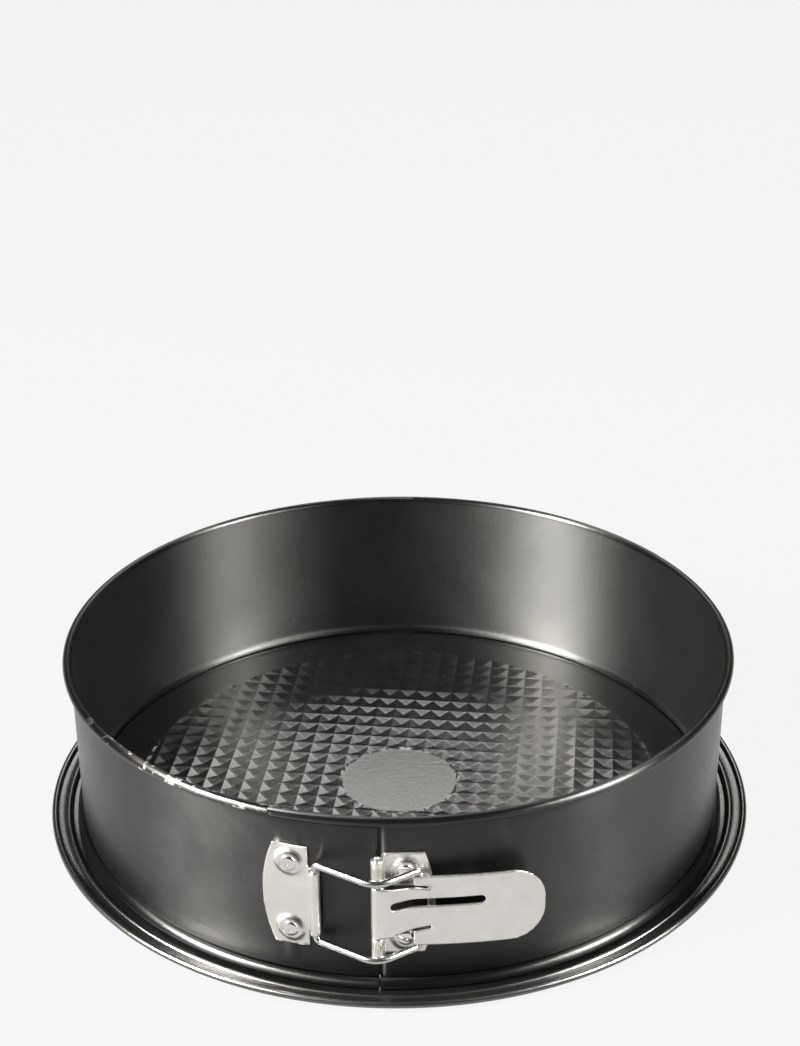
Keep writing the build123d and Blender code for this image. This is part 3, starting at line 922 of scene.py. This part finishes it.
def wire(name, path, r, mat, seg=28):
    pts = []
    for a, b in zip(path[:-1], path[1:]):
        k = max(1, int((b - a).length / 1.2))
        for q in range(k):
            pts.append(a.lerp(b, q / k))
    pts.append(path[-1])
    T = []
    for i in range(len(pts)):
        t = pts[min(i + 1, len(pts) - 1)] - pts[max(i - 1, 0)]
        T.append(t.normalized())
    u = T[0].orthogonal().normalized()
    V, F, rows = [], [], []

    def ring(cn, t, u, rr):
        v = t.cross(u)
        row = []
        for q in range(seg):
            a = 2 * math.pi * q / seg
            row.append(len(V))
            V.append(tuple(cn + (u * math.cos(a) + v * math.sin(a)) * rr))
        rows.append(row)
    rows_u = []
    for i, (p, t) in enumerate(zip(pts, T)):
        u = (u - t * u.dot(t)).normalized()
        rows_u.append(u.copy())
    ring(pts[0] - T[0] * 0.0, T[0], rows_u[0], r * 0.82)
    for i, (p, t) in enumerate(zip(pts, T)):
        if i == 0:
            p = p + t * 0.22
        if i == len(pts) - 1:
            p = p - t * 0.22
        ring(p, t, rows_u[i], r)
    ring(pts[-1], T[-1], rows_u[-1], r * 0.82)
    for r0, r1 in zip(rows[:-1], rows[1:]):
        for q in range(seg):
            w = (q + 1) % seg
            F.append((r0[q], r0[w], r1[w], r1[q]))
    for row, end in ((rows[0], pts[0]), (rows[-1], pts[-1])):
        c_ = len(V)
        V.append(tuple(end))
        for q in range(seg):
            F.append((row[q], row[(q + 1) % seg], c_))
    o = obj_from(name, V, F, 50, mat)
    fix_normals(o)
    for p in o.data.polygons:
        p.use_smooth = True
    o.data.set_sharp_from_angle(angle=math.radians(50))
    return o


EX, EY = 14.2, -133.3
BX, BY = 0.0, -143.2
Z0, Z1 = 21.3, 53.2
bail = wire("bail_wire", fillet_path(
    [(EX, EY, 22.9), (EX, EY, Z0), (BX, BY, Z0), (KX, KY, Z0), (KX, KY, Z1), (BX, BY, Z1), (EX, EY, Z1), (EX, EY, 51.7)],
    [1.3, 9.0, 2.4, 2.4, 9.0, 1.3]), 1.25, M_WIRE)
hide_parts("bail")
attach(bail, "bail")


# ---------------------------------------------------------------- floor and light
def plane(name, size, z, col):
    me = bpy.data.meshes.new(name)
    me.from_pydata([(-size, -size, z), (size, -size, z), (size, size, z), (-size, size, z)], [], [(0, 1, 2, 3)])
    o = bpy.data.objects.new(name, me)
    bpy.context.collection.objects.link(o)
    m, nt, bs = nodes_of(name)
    tcn = add(nt, "ShaderNodeTexCoord").outputs["Object"]
    n = noise(nt, tcn, 3, 2, 0.5)
    nt.links.new(ramp(nt, n, [(0.3, g(col * 0.995)), (0.7, g(col))]), bs.inputs["Base Color"])
    bs.inputs["Roughness"].default_value = 0.9
    bs.inputs["Specular IOR Level"].default_value = 0.0
    bs.inputs["Emission Color"].default_value = (1.0, 1.0, 1.0, 1)
    bs.inputs["Emission Strength"].default_value = 0.885
    me.materials.append(m)
    return o


plane("floor", 12, -0.0002, 0.006)

world = bpy.data.worlds.new("studio")
bpy.context.scene.world = world
world.use_nodes = True
bg = world.node_tree.nodes["Background"]
bg.inputs["Color"].default_value = (1.0, 0.995, 0.985, 1)
bg.inputs["Strength"].default_value = 0.02
bpy.context.scene.view_settings.view_transform = "Standard"


def softbox(name, loc, target, size, size_y, power, spread=180):
    l = bpy.data.lights.new(name, "AREA")
    l.shape = "RECTANGLE"
    l.size = size
    l.size_y = size_y
    l.energy = power
    l.spread = math.radians(spread)
    o = bpy.data.objects.new(name, l)
    bpy.context.collection.objects.link(o)
    o.location = loc
    o.rotation_euler = (Vector(target) - Vector(loc)).to_track_quat("-Z", "Y").to_euler()
    return o


softbox("key_left", (-1.14, -0.62, 0.86), (0, 0, 0.05), 0.42, 0.9, 235)
softbox("key_right", (1.23, -0.42, 0.86), (0, 0, 0.05), 0.35, 0.9, 100)
softbox("back_top", (0, 1.25, 1.15), (0, 0, 0), 0.9, 0.5, 6)
